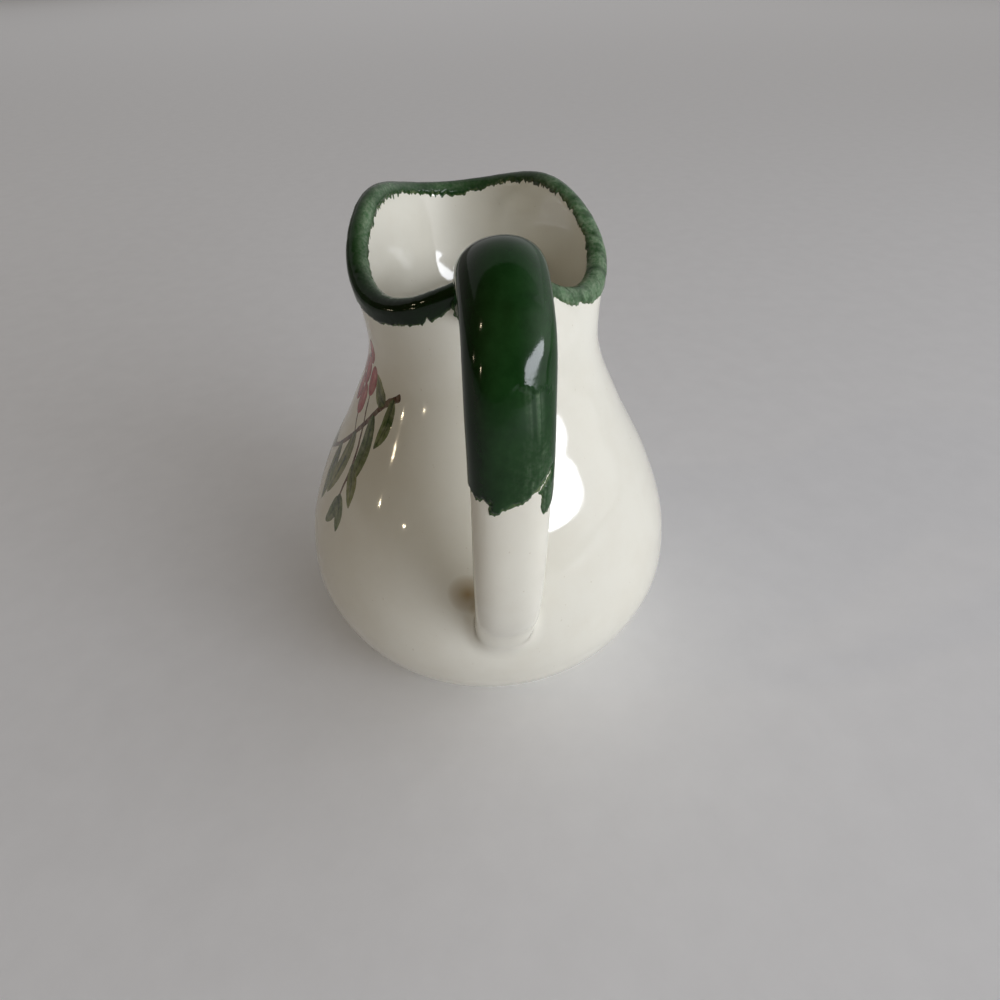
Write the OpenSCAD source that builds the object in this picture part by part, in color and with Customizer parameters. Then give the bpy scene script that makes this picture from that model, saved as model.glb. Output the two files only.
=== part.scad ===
// Milk jug with a wavy mouth and a strap handle. Lengths are in mm.
// Frame: the origin is the centre of the foot on the table and +Z is up. The pouring side is at +X and the
// handle at -X.

/* [Body] */
// Radius of the belly a third of the way up
belly_radius = 42; // [34:0.5:50]
// Height of the wall without its rounded lip, before the mouth rises and dips
wall_height = 98.9; // [85:0.1:115]
// Radius of the neck
neck_radius = 23.8; // [21:0.1:27]
// Radius of the mouth before its lobes
mouth_radius = 24; // [21:0.1:28]
// Radius where the belly meets the foot ring
foot_radius = 24.5; // [20:0.1:29]
// Thickness of the wall, which is also the thickness of the rounded lip
wall_thickness = 4; // [3:0.1:5]
// Thickness of the floor at its middle
floor_thickness = 4.6; // [3:0.1:6]
// Height of the foot ring
foot_height = 2.4; // [1.6:0.1:4]
// Width of the foot ring where it stands on the table
foot_width = 3.6; // [2.4:0.1:6]

/* [Mouth] */
// How much higher the pouring side is than the middle of the mouth
mouth_rise = 5.59; // [0:0.05:8]
// Angle from the handle's plane to the mouth's own plane, as it was made by hand
mouth_turn = 2.3; // [-10:0.1:10]
// Size of the lobes as a share of the modelled ones
lobe_share = 1; // [0:0.05:1.2]

/* [Handle] */
// Distance from the belly's radius out to the strap's middle line
handle_clearance = 12.7; // [9:0.1:18]
// Height of the arch's middle line above the wall
handle_rise = 6.5; // [3:0.1:12]
// Distance from the top of the wall at the handle down to the middle of the upper root
upper_root_drop = 3.6; // [3.4:0.1:12]
// Height of the middle of the lower root
lower_root_height = 31; // [26:0.1:38]
// Width of the strap at its arch
strap_width = 13.2; // [10:0.1:16]
// Width of the strap at its lower end
strap_low_width = 11.7; // [9:0.1:16]
// Thickness of the strap at its arch
strap_thickness = 9.6; // [7:0.1:11.5]
// Thickness of the strap at its lower end
strap_low_thickness = 8; // [6:0.1:11]
// Thickness of the strap at its upper root
strap_root_thickness = 6.4; // [5:0.1:7]
// How far the strap bows to one side in its middle, as it was made by hand
strap_bow = 0.4; // [0:0.1:2]

/* [Joints] */
// Reach of the slip fillet at the neck
upper_fillet = 1.2; // [0.8:0.1:1.5]
// Reach of the slip fillet at the belly
lower_fillet = 3.8; // [1:0.1:4]

/* [Glaze] */
// Thickness of the green coats
glaze_thickness = 0.35; // [0.2:0.05:0.6]
// Share of the handle's length where the green coat ends
handle_glaze_end_share = 0.58; // [0.35:0.01:0.75]
// How far down the outside the rim's green coat reaches, below the rounded lip
rim_glaze_drop = 2.2; // [1:0.1:3.5]
// Bare angle of the rim on each side of the handle
rim_gap_angle = 22.5; // [22:0.5:50]

/* [Hidden] */
lip_radius = wall_thickness / 2;
around = 64;
strap_around = 24;
strap_steps = 34;
recess_depth = foot_height * 0.75;
foot_outer = foot_radius + foot_height * 0.4;
foot_inner = foot_outer - foot_width;
// Shares of the wall's height where the mouth's waves start and where the inside turns in to the floor
wave_start_share = 0.755;
floor_turn_share = 0.05;
wave_start = wall_height * wave_start_share;
// The wall's heights as shares of its height, and the radii that go with them
wall_shares = [0, 0.08, 0.2, 0.35, 0.5, 0.65, 0.78, 0.89, 1];
below_share = [0, 0.566, 0.959, 1];
above_share = [0.74, 0.325, 0.038, 0];
wall_radii = [
  for (s = below_share) foot_radius + s * (belly_radius - foot_radius),
  for (s = above_share) neck_radius + s * (belly_radius - neck_radius),
  mouth_radius
];
// Shares of the mouth's waves of one, two, three and four lobes, in and out and up and down, and their means
reach_mean_share = 0.066;
lift_mean_share = -0.235;
reach_even_share = [0.168, 0.021, 0.043, 0.032];
reach_odd_share = [0.07, -0.039, 0.052, 0.007];
lift_even_share = [1, 0.353, -0.612, -0.034];
lift_odd_share = [0.223, -0.024, -0.207, -0.034];

body_color = [0.93, 0.9, 0.82];
green_color = [0.07, 0.2, 0.08];
slip_color = [0.88, 0.85, 0.77];

// Smooth curve through points
function secant(x, y, i) = (y[i + 1] - y[i]) / (x[i + 1] - x[i]);
function slope(x, y, i) =
  i == 0 ? secant(x, y, 0)
  : i == len(x) - 1 ? secant(x, y, i - 1)
  : let (a = x[i] - x[i - 1], b = x[i + 1] - x[i])
    (b * secant(x, y, i - 1) + a * secant(x, y, i)) / (a + b);
function span(x, t, i = 0) = i >= len(x) - 2 || t < x[i + 1] ? i : span(x, t, i + 1);
function curve(x, y, t) =
  let (i = span(x, t), h = x[i + 1] - x[i], s = (t - x[i]) / h)
  y[i] * (2 * s * s * s - 3 * s * s + 1) + slope(x, y, i) * h * (s * s * s - 2 * s * s + s)
  + y[i + 1] * (3 * s * s - 2 * s * s * s) + slope(x, y, i + 1) * h * (s * s * s - s * s);

// Body: the plain wall, and the waves of the mouth
function wall_radius(t) = curve(wall_shares, wall_radii, t);
function wall_lean(t) = (wall_radius(t + 0.004) - wall_radius(t - 0.004)) / (0.008 * wall_height);
function wave_sum(even, odd, a) =
  [for (k = [1 : 4]) even[k - 1] * cos(k * (a - mouth_turn)) + odd[k - 1] * sin(k * (a - mouth_turn))]
  * [1, 1, 1, 1];
function reach(a) = lobe_share * (reach_mean_share + wave_sum(reach_even_share, reach_odd_share, a));
function lift(a) =
  lobe_share * mouth_rise * (lift_mean_share + wave_sum(lift_even_share, lift_odd_share, a));
function weight(z) =
  let (s = min(1, max(0, (z - wave_start) / (wall_height - wave_start)))) s * s * (2 - s);
// A ring holds the wall's radius, its height, how far in it is set, and how far up
function ring_point(ring, a) =
  let (w = weight(ring[1]), r = ring[0] * (1 + w * reach(a)) - ring[2])
  [r * cos(a), r * sin(a), ring[1] + w * lift(a) + ring[3]];

low_share = foot_height / wall_height;
coat_share = 1 - rim_glaze_drop / wall_height;
outer_shares = concat(
  [for (i = [0 : 15]) low_share + (wave_start_share - low_share) * i / 16],
  [for (i = [0 : 6]) wave_start_share + (coat_share - wave_start_share) * i / 6],
  [1]
);
inner_shares = concat(
  [for (i = [1 : 6]) 1 - (1 - wave_start_share) * i / 7],
  [for (i = [0 : 11]) wave_start_share - (wave_start_share - floor_turn_share) * i / 11]
);
foot_edge = 0.5;
overrun = 1;
foot_rings = [
  [foot_outer - foot_edge, 0, 0, 0],
  [foot_outer, foot_edge, 0, 0],
  [foot_outer + foot_edge * 0.4, foot_height * 0.7, 0, 0]
];
wall_rings = [for (t = outer_shares) [wall_radius(t), t * wall_height, 0, 0]];
lip_steps = 8;
lip_rings = [
  for (i = [1 : lip_steps]) let (b = 180 * i / lip_steps)
  [mouth_radius, wall_height, lip_radius * (1 - cos(b)), lip_radius * sin(b)]
];
inside_rings = [
  for (t = inner_shares) let (m = wall_lean(t), n = sqrt(1 + m * m))
  [wall_radius(t), t * wall_height, wall_thickness / n, wall_thickness * m / n]
];
floor_height = recess_depth + floor_thickness;
floor_rings = [
  [foot_radius, floor_height + floor_thickness * 0.076, 0, 0],
  [foot_radius * 0.75, floor_height, 0, 0],
  [foot_radius * 0.4, floor_height, 0, 0]
];

// Faces of a stack of rings with a point at each end
function wrap(j, n) = (j + 1) % n;
function stack_faces(rings, n) = concat(
  [for (j = [0 : n - 1]) [0, 1 + j, 1 + wrap(j, n)]],
  [for (i = [0 : rings - 2]) for (j = [0 : n - 1]) for (f = quad_faces(1 + i * n, j, n)) f],
  [for (j = [0 : n - 1]) let (o = 1 + (rings - 1) * n) [o + j, o + n, o + wrap(j, n)]]
);
function quad_faces(o, j, n) =
  [[o + j, o + n + j, o + n + wrap(j, n)], [o + j, o + n + wrap(j, n), o + wrap(j, n)]];

body_rings = concat(foot_rings, wall_rings, lip_rings, inside_rings, floor_rings);

module walls() {
  polyhedron(
    points = concat(
      [[0, 0, 0]],
      [for (g = body_rings) for (j = [0 : around - 1]) ring_point(g, 360 * j / around)],
      [[0, 0, floor_height]]
    ),
    faces = stack_faces(len(body_rings), around)
  );
}
// The hollow under the floor leaves a flat ring for the jug to stand on
module foot_hollow() {
  rotate_extrude($fn = 96) polygon([
    [0, -overrun],
    [foot_inner + foot_edge, -overrun],
    [foot_inner + foot_edge, 0],
    [foot_inner, foot_edge],
    [foot_inner - foot_edge / 2, recess_depth * 0.8],
    [foot_inner - foot_edge * 1.5, recess_depth],
    [0, recess_depth]
  ]);
}
module body() {
  color(body_color) difference() {
    walls();
    foot_hollow();
  }
}

// Radius of the finished outside at an angle and a height
function flat_height(a, z, n = 12) =
  n == 0 ? z : let (h = flat_height(a, z, n - 1)) z - weight(h) * lift(a);
function outside_radius(a, z) =
  let (h = min(wall_height, flat_height(a, z)), up = min(lip_radius, max(0, z - wall_height - lift(a))))
  wall_radius(h / wall_height) * (1 + weight(h) * reach(a)) - lip_radius
  + sqrt(lip_radius * lip_radius - up * up);
// How far a point is outside the body, and where a line from it first meets the body
function outside_by(p) = norm([p[0], p[1]]) - outside_radius(atan2(p[1], p[0]), p[2]);
function first_inside(p, d, step, m = 0) =
  m > belly_radius || outside_by(p + m * d) < 0 ? m : first_inside(p, d, step, m + step);
function halved(p, d, near, far, n = 22) =
  let (m = (near + far) / 2)
  n == 0 ? p + m * d
  : outside_by(p + m * d) > 0 ? halved(p, d, m, far, n - 1) : halved(p, d, near, m, n - 1);
function touch(p, d, step = strap_low_thickness / 4) =
  let (far = first_inside(p, d, step)) halved(p, d, max(0, far - step), far);

// Handle: the strap's middle line from the neck to the belly
upper_root_height = wall_height + lift(180) - upper_root_drop;
neck_x = outside_radius(180, upper_root_height);
belly_x = outside_radius(180, lower_root_height);
far_x = belly_radius + handle_clearance;
arch_height = wall_height + handle_rise;
upper_x_share = [0, 0.18, 0.35, 0.57, 0.81, 0.965, 1];
lower_x_share = [0.985, 0.67, 0.36];
high_z_share = [0, 0.48, 0.85, 1];
low_z_share = [0.94, 0.77, 0.576, 0.389];
// Heights over the lower root as shares of the handle's clearance, where the strap runs in to the belly
landing_z_share = [1.249, 0.789];
line_x = concat(
  [for (s = upper_x_share) -(neck_x + s * (far_x - neck_x))],
  [for (s = lower_x_share) -(belly_x + s * (far_x - belly_x))],
  [-belly_x]
);
line_z = concat(
  [for (s = high_z_share) upper_root_height + s * (arch_height - upper_root_height)],
  [for (s = low_z_share) lower_root_height + s * (arch_height - lower_root_height)],
  [for (s = landing_z_share) lower_root_height + s * handle_clearance],
  [lower_root_height]
);
function line_length(i) =
  i == 0 ? 0 : line_length(i - 1) + norm([line_x[i] - line_x[i - 1], line_z[i] - line_z[i - 1]]);
full_length = line_length(len(line_x) - 1);
line_shares = [for (i = [0 : len(line_x) - 1]) line_length(i) / full_length];
function eased(s) = let (c = min(1, max(0, s))) c * c * (3 - 2 * c);
// The strap's upper part, toward the neck, is rounder, tilted by some degrees and set a little to one side
strap_tilt = 8;
strap_set = 0.3;
function upper_part(u) = eased((0.45 - u) / 0.15);
function bow(u) = strap_bow * sin(180 * min(1, max(0, (u - 0.2) / 0.5))) + strap_set * upper_part(u);
function middle(u) = [curve(line_shares, line_x, u), -bow(u), curve(line_shares, line_z, u)];
function along(u) = let (d = middle(u + 0.004) - middle(u - 0.004)) d / norm(d);
// The strap's section is an oval with flattened faces; at a share of 1 it would be an ellipse
roundness_share = 0.87;
function flatten(v, u) = sign(v) * pow(abs(v), roundness_share + (1 - roundness_share) * upper_part(u));
function tapered(high, low, u) = high + (low - high) * min(1, max(0, (u - 0.35) / 0.5));
function thickness(u) =
  tapered(strap_thickness, strap_low_thickness, u)
  - (strap_thickness - strap_root_thickness) * (1 - eased((u - 0.04) / 0.2));
function strap_offset(u, a, grow, scale = 1) =
  let (
    d = along(u),
    out = [d[2], 0, -d[0]],
    wide = scale * (tapered(strap_width, strap_low_width, u) / 2 + grow) * flatten(cos(a), u),
    deep = scale * (thickness(u) / 2 + grow) * flatten(sin(a), u),
    tilt = strap_tilt * upper_part(u)
  )
  [0, 1, 0] * (wide * cos(tilt) - deep * sin(tilt)) - out * (wide * sin(tilt) + deep * cos(tilt));
function strap_point(u, a, grow = 0) = middle(u) + strap_offset(u, a, grow);
function strap_ring(u, grow = 0) =
  [for (j = [0 : strap_around - 1]) strap_point(u, 360 * j / strap_around, grow)];

// The strap's first and last free sections, and their prints on the body
upper_free_share = 0.115;
lower_free_share = 0.875;
function print_middle(u, way) = touch(middle(u), along(u) * way);
function print_ring(u, way, grow, scale = 1) = [
  for (j = [0 : strap_around - 1])
  touch(middle(u) + strap_offset(u, 360 * j / strap_around, grow, scale), along(u) * way)
];
// A print spread over the body, for the wide end of a fillet
function spread_ring(print, centre, by) = [
  for (p = print)
  let (q = p + by * (p - centre) / norm(p - centre), a = atan2(q[1], q[0]), r = outside_radius(a, q[2]))
  [r * cos(a), r * sin(a), q[2]]
];
function stepped(ring, free, d) =
  [for (j = [0 : strap_around - 1]) ring[j] + (free[j] - ring[j]) * min(0.9, d / norm(free[j] - ring[j]))];
upper_print = print_ring(upper_free_share, -1, 0);
lower_print = print_ring(lower_free_share, 1, 0);
upper_step = stepped(upper_print, strap_ring(upper_free_share), upper_fillet);
lower_step = stepped(lower_print, strap_ring(lower_free_share), lower_fillet);
free_shares =
  [for (i = [0 : strap_steps]) upper_free_share + (lower_free_share - upper_free_share) * i / strap_steps];

handle_rings = concat(
  [for (s = [0.25, 0.5, 0.75]) print_ring(upper_free_share, -1, 0, s)],
  [upper_print, upper_step],
  [for (u = free_shares) strap_ring(u)],
  [lower_step, lower_print],
  [for (s = [0.75, 0.5, 0.25]) print_ring(lower_free_share, 1, 0, s)]
);

module handle() {
  color(body_color) polyhedron(
    points = concat(
      [print_middle(upper_free_share, -1)],
      [for (g = handle_rings) for (p = g) p],
      [print_middle(lower_free_share, 1)]
    ),
    faces = stack_faces(len(handle_rings), strap_around)
  );
}

// Closed loop of rings, for the fillets
function loop_faces(rings, n, way) = [
  for (i = [0 : rings - 1]) for (j = [0 : n - 1])
  let (a = i * n + j, b = i * n + wrap(j, n), c = wrap(i, rings) * n + j, d = wrap(i, rings) * n + wrap(j, n))
  for (f = way > 0 ? [[a, c, d], [a, d, b]] : [[a, d, c], [a, b, d]]) f
];
module fillet(step, print, centre, reach, way) {
  half = spread_ring(print, centre, reach / 2);
  wide = spread_ring(print, centre, reach);
  dish = [for (j = [0 : strap_around - 1]) (step[j] + 2 * print[j] + wide[j]) / 4];
  color(slip_color) polyhedron(
    points = [for (g = [step, print, half, wide, dish]) for (p = g) p],
    faces = loop_faces(5, strap_around, way)
  );
}
module upper_handle_joint() {
  fillet(upper_step, upper_print, print_middle(upper_free_share, -1), upper_fillet, 1);
}
module lower_handle_joint() {
  fillet(lower_step, lower_print, print_middle(lower_free_share, 1), lower_fillet, -1);
}

// Green coats, which lie on the same rings as what they cover
module strip(inner, outer) {
  rows = len(inner);
  columns = len(inner[0]);
  m = rows - 1;
  n = columns - 1;
  function at(i, j, layer) = (layer * rows + i) * columns + j;
  function cell(i, j) = [
    [at(i, j, 1), at(i + 1, j, 1), at(i + 1, j + 1, 1)],
    [at(i, j, 1), at(i + 1, j + 1, 1), at(i, j + 1, 1)],
    [at(i, j, 0), at(i + 1, j + 1, 0), at(i + 1, j, 0)],
    [at(i, j, 0), at(i, j + 1, 0), at(i + 1, j + 1, 0)]
  ];
  function long_edges(j) = [
    [at(0, j, 0), at(0, j, 1), at(0, j + 1, 1), at(0, j + 1, 0)],
    [at(m, j, 1), at(m, j, 0), at(m, j + 1, 0), at(m, j + 1, 1)]
  ];
  function ends(i) = [
    [at(i, 0, 1), at(i, 0, 0), at(i + 1, 0, 0), at(i + 1, 0, 1)],
    [at(i, n, 0), at(i, n, 1), at(i + 1, n, 1), at(i + 1, n, 0)]
  ];
  polyhedron(
    points = concat([for (g = inner) for (p = g) p], [for (g = outer) for (p = g) p]),
    faces = concat(
      [for (i = [0 : m - 1]) for (j = [0 : n - 1]) for (f = cell(i, j)) f],
      [for (j = [0 : n - 1]) for (f = long_edges(j)) f],
      [for (i = [0 : m - 1]) for (f = ends(i)) f]
    )
  );
}

coat_rings = concat(
  [for (i = [len(wall_rings) - 2 : len(wall_rings) - 1]) concat(wall_rings[i], [1, 0])],
  [for (i = [1 : lip_steps]) concat(lip_rings[i - 1], [cos(180 * i / lip_steps), sin(180 * i / lip_steps)])]
);
gap_steps = ceil(rim_gap_angle * around / 360);
coat_steps = [-around / 2 + gap_steps : around / 2 - gap_steps];

module rim_glaze() {
  color(green_color) strip(
    [for (g = coat_rings) [for (j = coat_steps) ring_point(g, 360 * j / around)]],
    [for (g = coat_rings) [
      for (j = coat_steps)
      ring_point([g[0], g[1], g[2] - glaze_thickness * g[4], g[3] + glaze_thickness * g[5]], 360 * j / around)
    ]]
  );
}

coat_end = round(strap_steps * handle_glaze_end_share);
module handle_glaze() {
  n = strap_around;
  rows = coat_end + 2;
  coat_print = print_ring(upper_free_share, -1, glaze_thickness);
  coat_root = stepped(coat_print, strap_ring(upper_free_share, glaze_thickness), upper_fillet);
  function coat_rows(grow) = [for (i = [0 : coat_end]) for (p = strap_ring(free_shares[i], grow)) p];
  inner = concat(upper_step, coat_rows(0));
  outer = concat(coat_root, coat_rows(glaze_thickness));
  o = rows * n;
  color(green_color) polyhedron(
    points = concat(inner, outer),
    faces = concat(
      [for (i = [0 : rows - 2]) for (j = [0 : n - 1]) for (f = quad_faces(o + i * n, j, n)) f],
      [for (i = [0 : rows - 2]) for (j = [0 : n - 1]) for (f = quad_faces(i * n, j, n)) [f[0], f[2], f[1]]],
      [for (j = [0 : n - 1]) [j, o + j, o + wrap(j, n), wrap(j, n)]],
      [for (j = [0 : n - 1]) let (a = (rows - 1) * n) [a + wrap(j, n), a + o + wrap(j, n), a + o + j, a + j]]
    )
  );
}

body();
handle();
upper_handle_joint();
lower_handle_joint();
rim_glaze();
handle_glaze();
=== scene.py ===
# Dressed model of a milk jug: fine meshes for the shell, the strap and its joints, brushed green glaze,
# a painted sprig, and a plain studio. Lengths in the shape functions are in mm and become metres in mesh().
import math
import bpy
import numpy as np
from mathutils import Matrix, Vector


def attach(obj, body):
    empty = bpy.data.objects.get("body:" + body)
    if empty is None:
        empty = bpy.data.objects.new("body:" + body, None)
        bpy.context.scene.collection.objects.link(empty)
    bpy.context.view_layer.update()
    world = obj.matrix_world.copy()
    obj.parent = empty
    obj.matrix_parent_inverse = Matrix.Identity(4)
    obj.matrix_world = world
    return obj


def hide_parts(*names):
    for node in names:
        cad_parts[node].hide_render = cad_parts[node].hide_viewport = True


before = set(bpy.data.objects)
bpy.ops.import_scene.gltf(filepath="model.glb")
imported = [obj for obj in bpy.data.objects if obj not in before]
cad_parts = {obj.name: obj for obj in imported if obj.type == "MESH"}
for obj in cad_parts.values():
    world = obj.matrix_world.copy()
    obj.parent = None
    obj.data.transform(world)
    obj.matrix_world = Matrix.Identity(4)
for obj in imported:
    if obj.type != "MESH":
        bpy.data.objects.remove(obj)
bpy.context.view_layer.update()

MM = 0.001

# Sizes of the jug in mm and degrees, as the solids have them
BELLY_RADIUS = 42.0
WALL_HEIGHT = 98.9
NECK_RADIUS = 23.8
MOUTH_RADIUS = 24.0
FOOT_RADIUS = 24.5
WALL_THICKNESS = 4.0
FLOOR_THICKNESS = 4.6
FOOT_HEIGHT = 2.4
FOOT_WIDTH = 3.6
MOUTH_RISE = 5.59
MOUTH_TURN = 2.3
HANDLE_CLEARANCE = 12.7
HANDLE_RISE = 6.5
UPPER_ROOT_DROP = 3.6
LOWER_ROOT_HEIGHT = 31.0
STRAP_WIDTH = 13.2
STRAP_LOW_WIDTH = 11.7
STRAP_THICKNESS = 9.6
STRAP_LOW_THICKNESS = 8.0
STRAP_ROOT_THICKNESS = 6.4
STRAP_BOW = 0.4
STRAP_TILT = 8
STRAP_SET = 0.3
UPPER_FILLET = 1.2
LOWER_FILLET = 3.8
GLAZE = 0.35
LIP_RADIUS = WALL_THICKNESS / 2
RECESS_SHARE = 0.75
FOOT_FLARE_SHARE = 0.4
WAVE_SHARE = 0.755
RECESS_DEPTH = FOOT_HEIGHT * RECESS_SHARE
FOOT_OUTER = FOOT_RADIUS + FOOT_HEIGHT * FOOT_FLARE_SHARE
FOOT_INNER = FOOT_OUTER - FOOT_WIDTH
FOOT_EDGE = 0.5
FLOOR_HEIGHT = RECESS_DEPTH + FLOOR_THICKNESS
WAVE_START = WALL_HEIGHT * WAVE_SHARE

# Places along the strap, as shares of its length: where it leaves the slip at the neck and at the belly,
# where its upper part ends and over how much it blends, and where its bow, taper and thin root start and
# how far they run
UPPER_FREE = 0.115
LOWER_FREE = 0.875
UPPER_END = 0.45
UPPER_BLEND = 0.15
BOW_START = 0.2
BOW_RUN = 0.5
TAPER_START = 0.35
TAPER_RUN = 0.5
ROOT_START = 0.04
ROOT_RUN = 0.2
# How square the strap's section is: 1 is an ellipse
ROUNDNESS = 0.87

# The wall's outline: shares of its height, and radii from foot to belly, belly to neck, and mouth
WALL_SHARES = np.array([0, 0.08, 0.2, 0.35, 0.5, 0.65, 0.78, 0.89, 1])
FOOT_TO_BELLY = (0, 0.566, 0.959, 1)
NECK_TO_BELLY = (0.74, 0.325, 0.038, 0)
WALL_RADII = np.array(
    [FOOT_RADIUS + s * (BELLY_RADIUS - FOOT_RADIUS) for s in FOOT_TO_BELLY]
    + [NECK_RADIUS + s * (BELLY_RADIUS - NECK_RADIUS) for s in NECK_TO_BELLY]
    + [MOUTH_RADIUS]
)
# Waves of the mouth: how far it reaches out and how far it lifts, as a mean and four cosines and sines
REACH_MEAN = 0.066
LIFT_MEAN = -0.235
REACH_EVEN = (0.168, 0.021, 0.043, 0.032)
REACH_ODD = (0.07, -0.039, 0.052, 0.007)
LIFT_EVEN = (1, 0.353, -0.612, -0.034)
LIFT_ODD = (0.223, -0.024, -0.207, -0.034)

# Small steps for slopes, in shares of a length, and rounds of the searches
SLOPE_STEP = 0.004
LIFT_ROUNDS = 14
OUTWARD_STEPS = 24
HALVINGS = 26
# The fillet takes at most this share of the way from the shell to the strap's free part
STEP_MOST = 0.9
TINY = 1e-9


# Smooth curve through points
def curve(x, y, t):
    x = np.asarray(x, float)
    y = np.asarray(y, float)
    t = np.asarray(t, float)
    h = np.diff(x)
    cut = np.diff(y) / h
    m = np.empty(len(x))
    m[0] = cut[0]
    m[-1] = cut[-1]
    m[1:-1] = (h[1:] * cut[:-1] + h[:-1] * cut[1:]) / (h[:-1] + h[1:])
    i = np.clip(np.searchsorted(x, t, side="right") - 1, 0, len(x) - 2)
    s = (t - x[i]) / h[i]
    return (
        y[i] * (2 * s**3 - 3 * s**2 + 1)
        + m[i] * h[i] * (s**3 - 2 * s**2 + s)
        + y[i + 1] * (3 * s**2 - 2 * s**3)
        + m[i + 1] * h[i] * (s**3 - s**2)
    )


def eased(s):
    s = np.clip(s, 0, 1)
    return s * s * (3 - 2 * s)


# The shell: the plain wall, and the waves of the mouth. Angles are in radians
def wall_radius(t):
    return curve(WALL_SHARES, WALL_RADII, t)


def wall_lean(t):
    return (wall_radius(t + SLOPE_STEP) - wall_radius(t - SLOPE_STEP)) / (2 * SLOPE_STEP * WALL_HEIGHT)


def wave_sum(even, odd, a):
    b = a - math.radians(MOUTH_TURN)
    return sum(even[k - 1] * np.cos(k * b) + odd[k - 1] * np.sin(k * b) for k in (1, 2, 3, 4))


def reach(a):
    return REACH_MEAN + wave_sum(REACH_EVEN, REACH_ODD, a)


def lift(a):
    return MOUTH_RISE * (LIFT_MEAN + wave_sum(LIFT_EVEN, LIFT_ODD, a))


def weight(z):
    s = np.clip((z - WAVE_START) / (WALL_HEIGHT - WAVE_START), 0, 1)
    return s * s * (2 - s)


def ring_point(radius, z, inset, rise, a):
    w = weight(z)
    r = radius * (1 + w * reach(a)) - inset
    return np.stack([r * np.cos(a), r * np.sin(a), z + w * lift(a) + rise], -1)


def outside_radius(a, z):
    h = np.array(z, float)
    for _ in range(LIFT_ROUNDS):
        h = z - weight(h) * lift(a)
    up = np.clip(z - WALL_HEIGHT - lift(a), 0, LIP_RADIUS)
    h = np.minimum(WALL_HEIGHT, h)
    r = wall_radius(h / WALL_HEIGHT) * (1 + weight(h) * reach(a))
    return r - LIP_RADIUS + np.sqrt(LIP_RADIUS**2 - up**2)


# How far points are outside the shell
def outside_by(p):
    return np.hypot(p[..., 0], p[..., 1]) - outside_radius(np.arctan2(p[..., 1], p[..., 0]), p[..., 2])


# Where points that move along d come out of the shell
def touch(p, d):
    p = np.asarray(p, float)
    step = STRAP_LOW_THICKNESS / 4
    far = np.zeros(p.shape[:-1])
    for _ in range(OUTWARD_STEPS):
        out = outside_by(p + far[..., None] * d) > 0
        far = np.where(out, far + step, far)
    near = np.maximum(0, far - step)
    for _ in range(HALVINGS):
        mid = (near + far) / 2
        out = outside_by(p + mid[..., None] * d) > 0
        near = np.where(out, mid, near)
        far = np.where(out, far, mid)
    return p + far[..., None] * d


# The strap's middle line, from the neck over the arch to the belly
UPPER_ROOT_HEIGHT = float(WALL_HEIGHT + lift(math.pi) - UPPER_ROOT_DROP)
NECK_X = float(outside_radius(math.pi, UPPER_ROOT_HEIGHT))
BELLY_X = float(outside_radius(math.pi, LOWER_ROOT_HEIGHT))
FAR_X = BELLY_RADIUS + HANDLE_CLEARANCE
ARCH_HEIGHT = WALL_HEIGHT + HANDLE_RISE
LINE_X = (
    [-(NECK_X + s * (FAR_X - NECK_X)) for s in (0, 0.18, 0.35, 0.57, 0.81, 0.965, 1)]
    + [-(BELLY_X + s * (FAR_X - BELLY_X)) for s in (0.985, 0.67, 0.36)]
    + [-BELLY_X]
)
LINE_Z = (
    [UPPER_ROOT_HEIGHT + s * (ARCH_HEIGHT - UPPER_ROOT_HEIGHT) for s in (0, 0.48, 0.85, 1)]
    + [LOWER_ROOT_HEIGHT + s * (ARCH_HEIGHT - LOWER_ROOT_HEIGHT) for s in (0.94, 0.77, 0.576, 0.389)]
    + [LOWER_ROOT_HEIGHT + s * HANDLE_CLEARANCE for s in (1.249, 0.789)]
    + [LOWER_ROOT_HEIGHT]
)
LINE_STEPS = np.concatenate([[0], np.cumsum(np.hypot(np.diff(LINE_X), np.diff(LINE_Z)))])
STRAP_LENGTH = float(LINE_STEPS[-1])
LINE_SHARES = LINE_STEPS / STRAP_LENGTH


# The strap's upper part, toward the neck, is rounder, tilted and set a little to one side
def upper_part(u):
    return eased((UPPER_END - u) / UPPER_BLEND)


def strap_middle(u):
    u = np.asarray(u, float)
    bow = STRAP_BOW * np.sin(np.pi * np.clip((u - BOW_START) / BOW_RUN, 0, 1)) + STRAP_SET * upper_part(u)
    return np.stack([curve(LINE_SHARES, LINE_X, u), -bow, curve(LINE_SHARES, LINE_Z, u)], -1)


def strap_along(u):
    d = strap_middle(u + SLOPE_STEP) - strap_middle(u - SLOPE_STEP)
    return d / np.linalg.norm(d, axis=-1, keepdims=True)


def tapered(high, low, u):
    return high + (low - high) * np.clip((u - TAPER_START) / TAPER_RUN, 0, 1)


def strap_depth(u):
    root = (STRAP_THICKNESS - STRAP_ROOT_THICKNESS) * (1 - eased((u - ROOT_START) / ROOT_RUN))
    return tapered(STRAP_THICKNESS, STRAP_LOW_THICKNESS, u) - root


def flatten(v, u):
    return np.sign(v) * np.abs(v) ** (ROUNDNESS + (1 - ROUNDNESS) * upper_part(u))


# From the middle line to the strap's surface, at the angle a round it
def strap_offset(u, a):
    d = strap_along(u)
    out = np.stack([d[..., 2], 0 * d[..., 2], -d[..., 0]], -1)
    side = np.array([0.0, 1.0, 0.0])
    wide = tapered(STRAP_WIDTH, STRAP_LOW_WIDTH, u) / 2 * flatten(np.cos(a), u)
    deep = strap_depth(u) / 2 * flatten(np.sin(a), u)
    tilt = np.radians(STRAP_TILT) * upper_part(u)
    across = wide * np.cos(tilt) - deep * np.sin(tilt)
    outward = wide * np.sin(tilt) + deep * np.cos(tilt)
    return side * across[..., None] - out * outward[..., None]


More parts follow.
